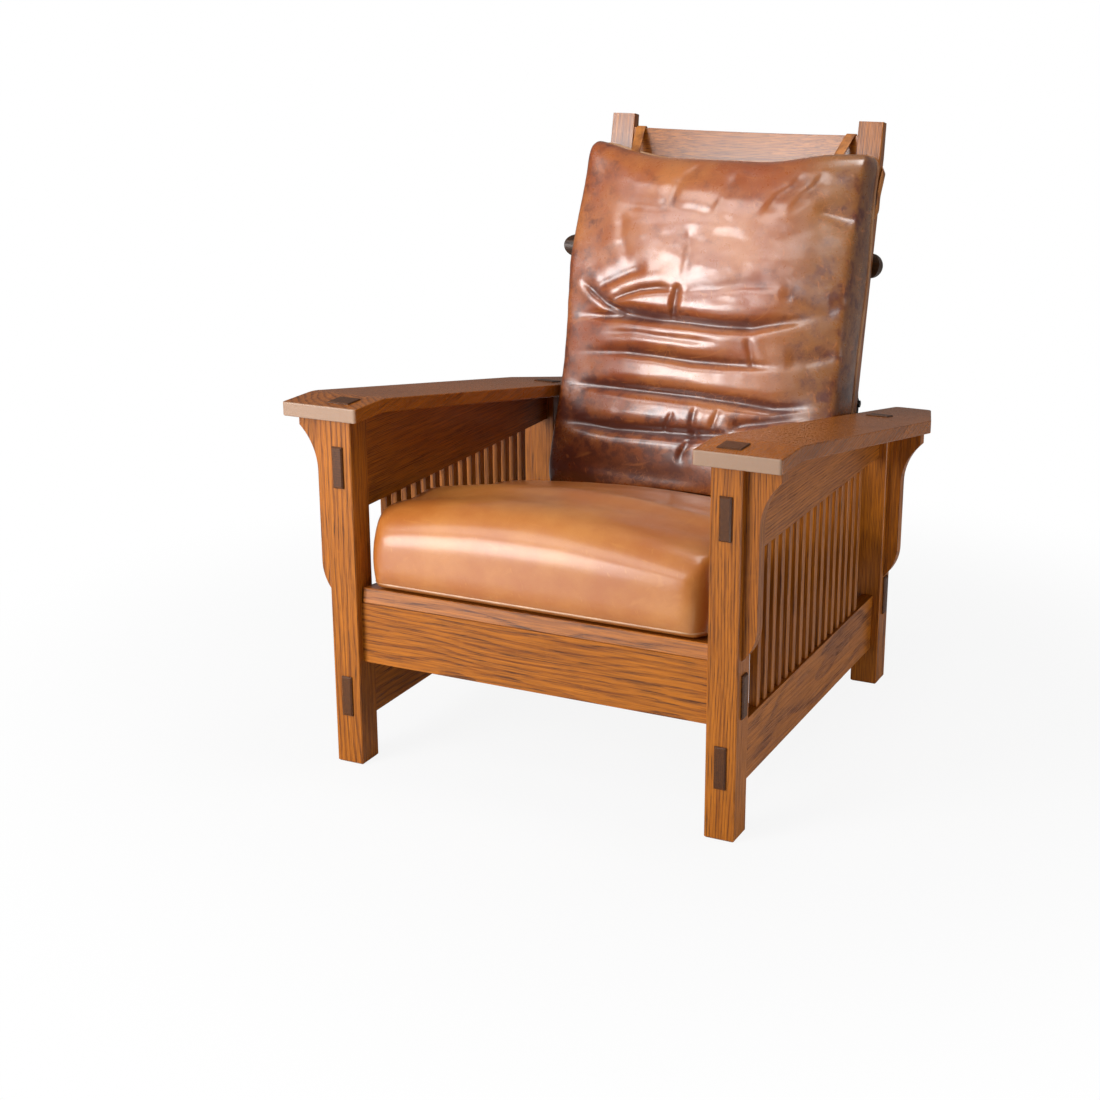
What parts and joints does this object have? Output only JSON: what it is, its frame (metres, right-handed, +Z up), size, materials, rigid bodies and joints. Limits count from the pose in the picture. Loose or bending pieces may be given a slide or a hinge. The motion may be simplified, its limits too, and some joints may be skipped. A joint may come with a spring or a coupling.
{
  "type": "mission reclining armchair",
  "caption": "Oak armchair with bent flat arms, spindle sides, long corbels, leather cushions and a hinged back that a sliding bar holds at its angle.",
  "frame": {"origin": "on the floor, midway between the arms' outer edges and between the arms' front and rear ends", "axes": "+Z up, -Y the way a sitter faces, +X to the right of someone who looks at the chair from the front"},
  "size_m": [0.838, 1.023, 0.9943],
  "materials": {
    "oak": "fumed quartersawn oak, satin lacquer",
    "arm_oak": "fumed quartersawn oak, semi-gloss lacquer",
    "dark_oak": "dark stained oak, satin",
    "plain_oak": "plain oak, matt",
    "seat_leather": "waxed distressed leather, glossy",
    "back_leather": "waxed distressed leather, glossy and creased",
    "strap_leather": "plain strap leather, satin",
    "dark_steel": "blackened steel, satin"
  },
  "bodies": {
    "frame": {"front_leg_left": "oak", "front_leg_right": "oak", "rear_leg_left": "oak", "rear_leg_right": "oak", "lower_side_rail_left": "oak", "lower_side_rail_right": "oak", "upper_side_rail_left": "oak", "upper_side_rail_right": "oak", "front_corbel_left": "oak", "front_corbel_right": "oak", "rear_corbel_left": "oak", "rear_corbel_right": "oak", "front_rail": "oak", "rear_rail": "oak", "seat_frame_front": "oak", "seat_frame_rear": "oak", "seat_frame_left": "oak", "seat_frame_right": "oak", "seat_slats": "plain_oak", "seat_cleat_front": "plain_oak", "seat_cleat_rear": "plain_oak", "seat_cushion": "seat_leather", "arm_left": "arm_oak", "arm_right": "arm_oak", "rear_arm_rail": "oak", "arm_rail_screws": "dark_steel", "spindles_left": "oak", "spindles_right": "oak", "hinge_rail_leaves": "dark_steel", "hinge_rail_screws": "dark_steel", "hinge_pins": "dark_steel", "prop_brackets": "dark_steel", "prop_pivot_bolts": "dark_steel", "bracket_screws": "dark_steel"},
    "back": {"back_stile_left": "oak", "back_stile_right": "oak", "back_rack_left": "dark_oak", "back_rack_right": "dark_oak", "back_slat_1": "oak", "back_slat_2": "oak", "back_slat_3": "oak", "back_slat_4": "oak", "back_slat_5": "oak", "back_bottom_rail": "oak", "hinge_back_leaves": "dark_steel", "hinge_back_screws": "dark_steel", "back_cushion": "back_leather", "top_strap_left": "strap_leather", "top_strap_right": "strap_leather", "side_strap_left": "strap_leather", "side_strap_right": "strap_leather"},
    "prop": {"prop_arm_left": "oak", "prop_arm_right": "oak", "bar_keepers": "dark_steel"},
    "bar": {"adjusting_bar": "dark_oak"}
  },
  "joints": [
    {"name": "back_recline", "type": "hinge", "parent": "frame", "child": "back", "pos_m": [0, 0.26295, 0.2195], "axis": [-1, 0, 0], "range_deg": [0, 20]},
    {"name": "prop_swing", "type": "hinge", "parent": "frame", "child": "prop", "pos_m": [0, 0.4665, 0.46238], "axis": [-1, 0, 0], "range_deg": [-1, 43.5]},
    {"name": "bar_slide", "type": "slide", "parent": "prop", "child": "bar", "axis": [1, 0, 0], "range_m": [-0.02, 0.108]}
  ],
  "couplings": [
    {"joint": "prop_swing", "follows": "back_recline", "ratio": 2.1109}
  ]
}
